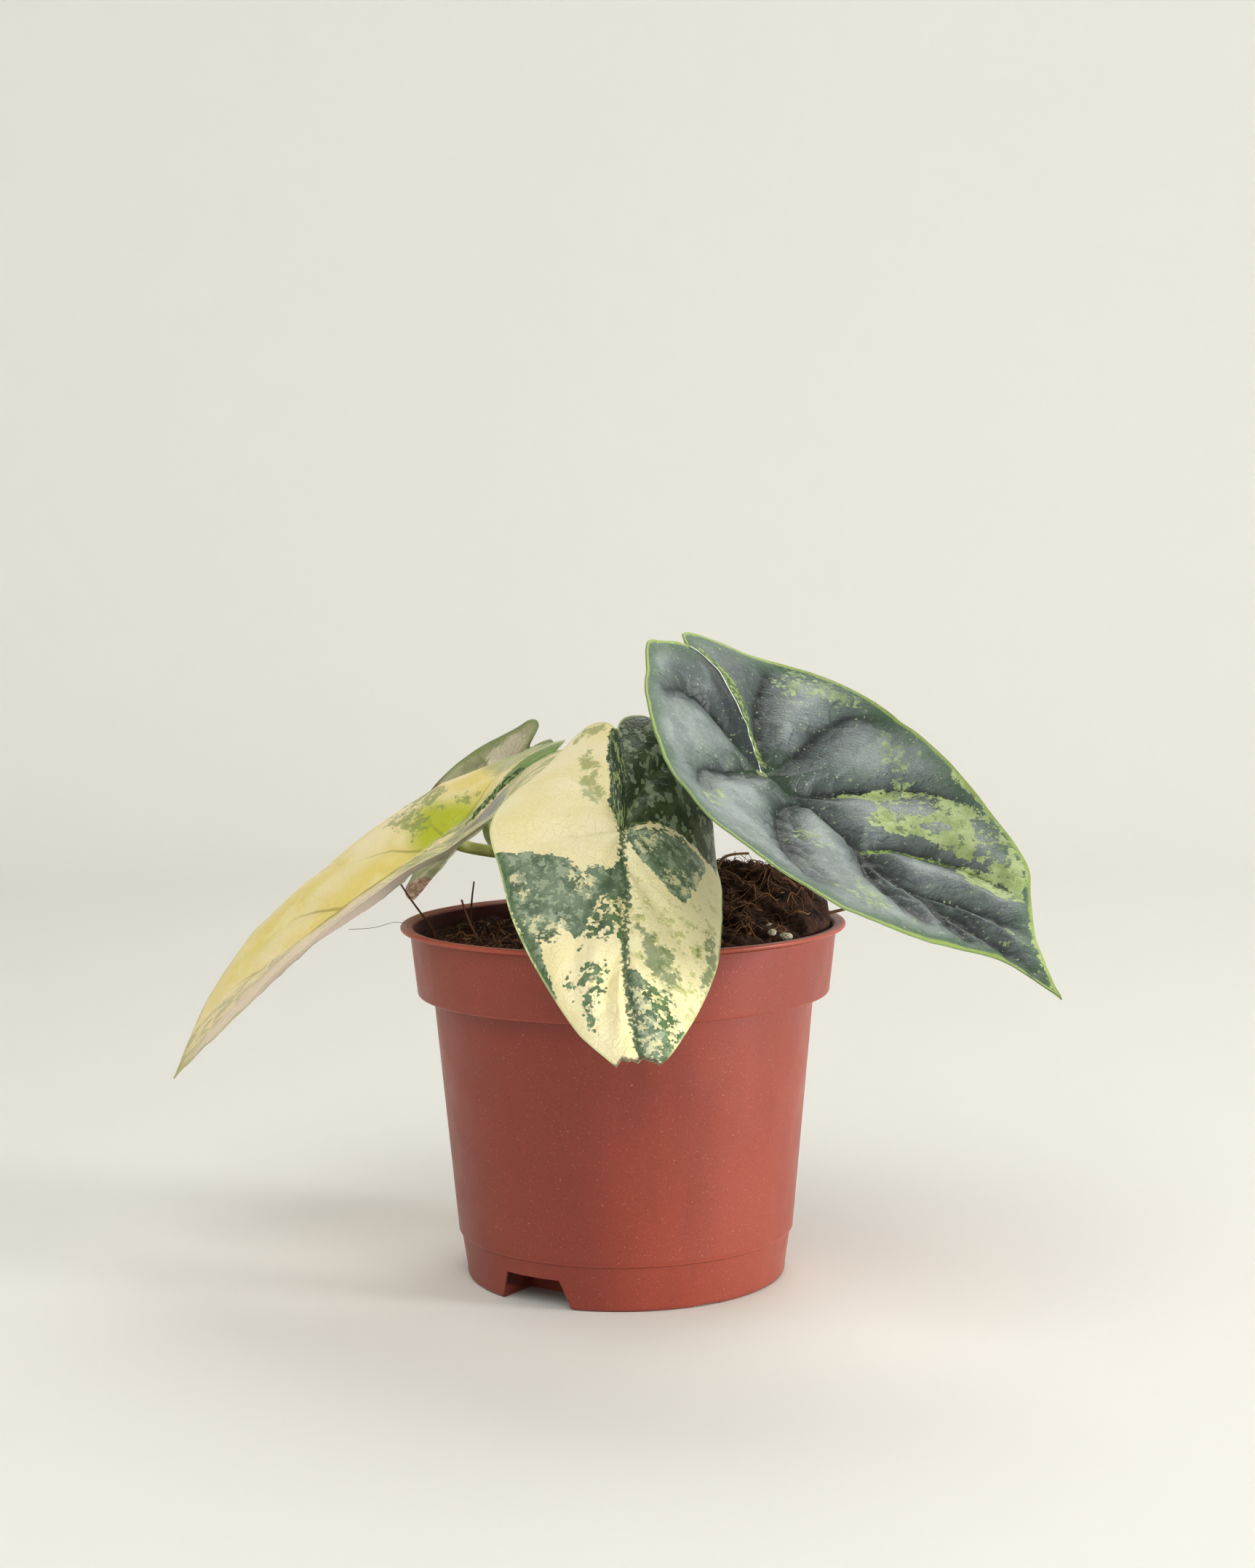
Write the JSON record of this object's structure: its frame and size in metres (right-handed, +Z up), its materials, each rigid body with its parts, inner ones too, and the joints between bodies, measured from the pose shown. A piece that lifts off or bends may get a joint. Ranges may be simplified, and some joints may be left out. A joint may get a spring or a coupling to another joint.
{
  "type": "potted alocasia plant",
  "caption": "Young variegated aroid with shield-shaped quilted leaves on short stalks, rooted in a round plastic nursery pot with drain pockets.",
  "frame": {"origin": "centre of the pot's flat underside", "axes": "+Z up along the pot's axis, -Y towards the viewer of the front leaf, +X to the viewer's right"},
  "size_m": [0.2284, 0.1887, 0.1732],
  "materials": {
    "pot_plastic": "satin moulded polypropylene",
    "root_ball": "rough matted peat and coir",
    "crown": "matt",
    "perlite": "rough expanded mineral",
    "stalk": "satin plant skin",
    "blade_silver": "satin waxy plant skin",
    "blade_cream": "satin waxy plant skin",
    "blade_yellow": "satin waxy plant skin",
    "blade_grey": "matt plant skin"
  },
  "bodies": {
    "root": {"pot": "pot_plastic", "soil": "root_ball", "corm": "crown", "perlite_1": "perlite", "perlite_2": "perlite", "perlite_3": "perlite", "petiole_right": "stalk", "petiole_front": "stalk", "petiole_left": "stalk", "petiole_back": "stalk", "leaf_right": "blade_silver", "leaf_front": "blade_cream", "leaf_left": "blade_yellow", "leaf_back": "blade_grey"}
  },
  "joints": []
}
